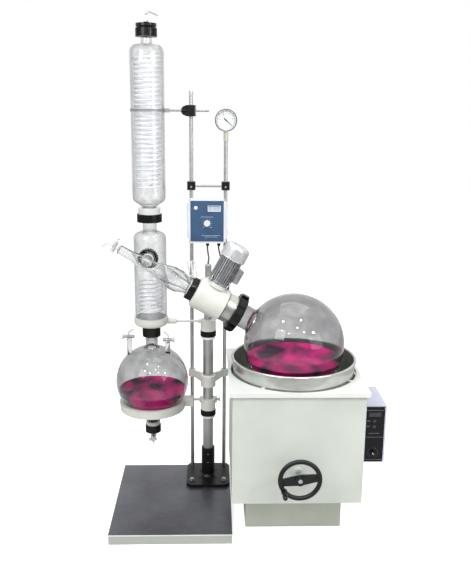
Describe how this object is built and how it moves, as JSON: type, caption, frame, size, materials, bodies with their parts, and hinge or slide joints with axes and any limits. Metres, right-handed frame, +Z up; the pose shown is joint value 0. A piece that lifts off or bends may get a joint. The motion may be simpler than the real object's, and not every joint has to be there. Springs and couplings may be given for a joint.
{
  "type": "rotary evaporator",
  "caption": "Rotary evaporator: tilted motor-driven glass flask over a hand-raised heating bath, with a coil condenser column and receiving flask on a post stand.",
  "frame": {"origin": "axis of the main post on the floor, at the underside of the floor plate", "axes": "+X from the stand to the bath, +Y to the back, +Z up"},
  "size_m": [1.2323, 0.824, 2.2455],
  "materials": {
    "polished_steel": "polished stainless steel",
    "plate_steel": "brushed stainless steel, dark reflections",
    "cast_black": "black painted cast iron",
    "cream_casting": "cream white painted aluminium casting",
    "white_plastic": "white plastic",
    "black_plastic": "black moulded plastic",
    "clear_glass": "clear borosilicate glass",
    "coil_glass": "clear glass cooling coil",
    "gauge_black": "black painted steel case with brass socket",
    "dial_white": "white dial plate",
    "controller_white": "white moulded case",
    "panel_blue": "printed blue panel with a white display window",
    "knob_pale": "pale grey moulded knob",
    "lead_grey": "grey cable sheath",
    "fin_grey": "finned aluminium motor body",
    "cover_white": "silver white fan cover",
    "shaft_steel": "polished hollow shaft with a bronze crown wheel",
    "bronze": "bronze gear",
    "plinth_grey": "grey green painted sheet steel",
    "box_grey": "pale grey painted sheet steel",
    "lid_white": "white painted sheet steel",
    "pot_steel": "spun stainless steel pot",
    "frame_grey": "grey painted steel",
    "wheel_black": "black moulded handwheel with steel shaft",
    "control_lavender": "pale painted case with a black panel",
    "button_grey": "dark grey button"
  },
  "bodies": {
    "stand": {"base_plate": "plate_steel", "post_foot": "cast_black", "foot_bolts": "polished_steel", "main_post": "polished_steel", "inner_post": "polished_steel", "top_collar": "cream_casting", "lower_collar": "cream_casting", "collar_rings": "black_plastic", "rod_bracket": "cream_casting", "left_rod": "polished_steel", "right_rod": "polished_steel", "cross_clamps": "cast_black", "condenser_clamp": "cast_black", "gauge_case": "gauge_black", "gauge_dial": "dial_white", "controller_case": "controller_white", "controller_panel": "panel_blue", "cable_glands": "black_plastic", "controller_leads": "lead_grey", "head_housing": "cream_casting", "head_bracket": "cream_casting", "duct_nut": "black_plastic", "motor_body": "fin_grey", "motor_cover": "cover_white", "vapour_duct": "clear_glass", "lower_condenser": "clear_glass", "lower_coil": "coil_glass", "column_nuts": "black_plastic", "column_gaskets": "white_plastic", "upper_condenser": "clear_glass", "upper_coil": "coil_glass", "vent_valve": "clear_glass", "column_ring": "cream_casting", "receiver_flask": "clear_glass", "receiver_ring": "cream_casting", "drain_valve": "clear_glass", "bath_plinth": "plinth_grey", "bath_box": "box_grey", "bath_lid": "lid_white", "lift_frame": "frame_grey", "control_box": "control_lavender"},
    "rotor": {"drive_shaft": "shaft_steel", "flask_nut": "black_plastic", "rotary_flask": "clear_glass"},
    "pinion": {"pinion_shaft": "polished_steel"},
    "lift": {"bath_pot": "pot_steel", "lift_platform": "frame_grey"},
    "wheel": {"handwheel": "wheel_black"},
    "grip": {"hand_grip": "black_plastic"},
    "crown": {"crown_gear": "bronze"},
    "feed_tap": {"feed_key": "white_plastic"},
    "vent_tap": {"vent_key": "white_plastic"},
    "left_tap": {"receiver_key_left": "white_plastic"},
    "right_tap": {"receiver_key_right": "white_plastic"},
    "drain_tap": {"drain_key": "white_plastic"},
    "speed_dial": {"speed_knob": "knob_pale"},
    "bath_dial": {"bath_knob": "black_plastic"},
    "up_key": {"up_button": "button_grey"},
    "down_key": {"down_button": "button_grey"},
    "needle": {"gauge_needle": "cast_black"}
  },
  "joints": [
    {"name": "flask_spin", "type": "hinge", "parent": "stand", "child": "rotor", "pos_m": [0.386, -0.22, 0.817], "axis": [-0.8746, 0, 0.4848], "continuous": true},
    {"name": "pinion_spin", "type": "hinge", "parent": "stand", "child": "pinion", "pos_m": [0.00685, -0.22, 1.02717], "axis": [0.4848, 0, 0.8746], "continuous": true},
    {"name": "wheel_turn", "type": "hinge", "parent": "stand", "child": "wheel", "pos_m": [0.386, -0.585, 0.34], "axis": [0, 1, 0], "range_deg": [-890, 1430]},
    {"name": "bath_lift", "type": "slide", "parent": "stand", "child": "lift", "axis": [0, 0, 1], "range_m": [-0.05, 0.08]},
    {"name": "crown_turn", "type": "hinge", "parent": "stand", "child": "crown", "pos_m": [0.386, -0.22, 0.3], "axis": [0, 0, 1], "range_deg": [-575, 360]},
    {"name": "grip_spin", "type": "hinge", "parent": "wheel", "child": "grip", "pos_m": [0.3206, -0.62, 0.2889], "axis": [0, 1, 0], "continuous": true},
    {"name": "feed_tap_turn", "type": "hinge", "parent": "stand", "child": "feed_tap", "pos_m": [-0.40349, -0.22, 1.25462], "axis": [0.4848, 0, 0.8746], "continuous": true},
    {"name": "vent_tap_turn", "type": "hinge", "parent": "stand", "child": "vent_tap", "pos_m": [-0.27, 0, 2.211], "axis": [0, 1, 0], "continuous": true},
    {"name": "left_tap_turn", "type": "hinge", "parent": "stand", "child": "left_tap", "pos_m": [-0.376, 0, 0.78], "axis": [1, 0, 0], "continuous": true},
    {"name": "right_tap_turn", "type": "hinge", "parent": "stand", "child": "right_tap", "pos_m": [-0.192, -0.034, 0.774], "axis": [1, 0, 0], "continuous": true},
    {"name": "drain_tap_turn", "type": "hinge", "parent": "stand", "child": "drain_tap", "pos_m": [-0.27, 0, 0.262], "axis": [0, 1, 0], "continuous": true},
    {"name": "speed_turn", "type": "hinge", "parent": "stand", "child": "speed_dial", "pos_m": [-0.006, 0.01, 1.3225], "axis": [0, 1, 0], "range_deg": [-150, 150]},
    {"name": "heat_turn", "type": "hinge", "parent": "stand", "child": "bath_dial", "pos_m": [0.718, -0.445, 0.392], "axis": [0, 1, 0], "range_deg": [-135, 135]},
    {"name": "up_press", "type": "slide", "parent": "stand", "child": "up_key", "axis": [0, 1, 0], "range_m": [0, 0.0007], "stiffness_N_per_m": 300},
    {"name": "down_press", "type": "slide", "parent": "stand", "child": "down_key", "axis": [0, 1, 0], "range_m": [0, 0.0007], "stiffness_N_per_m": 300},
    {"name": "needle_swing", "type": "hinge", "parent": "stand", "child": "needle", "pos_m": [0.08, 0.08, 1.789], "axis": [0, -1, 0], "range_deg": [0, 270]}
  ],
  "couplings": [
    {"joint": "pinion_spin", "follows": "flask_spin", "ratio": -3.375},
    {"joint": "bath_lift", "follows": "wheel_turn", "m_per_rad": 0.0032},
    {"joint": "crown_turn", "follows": "wheel_turn", "ratio": -0.4}
  ]
}
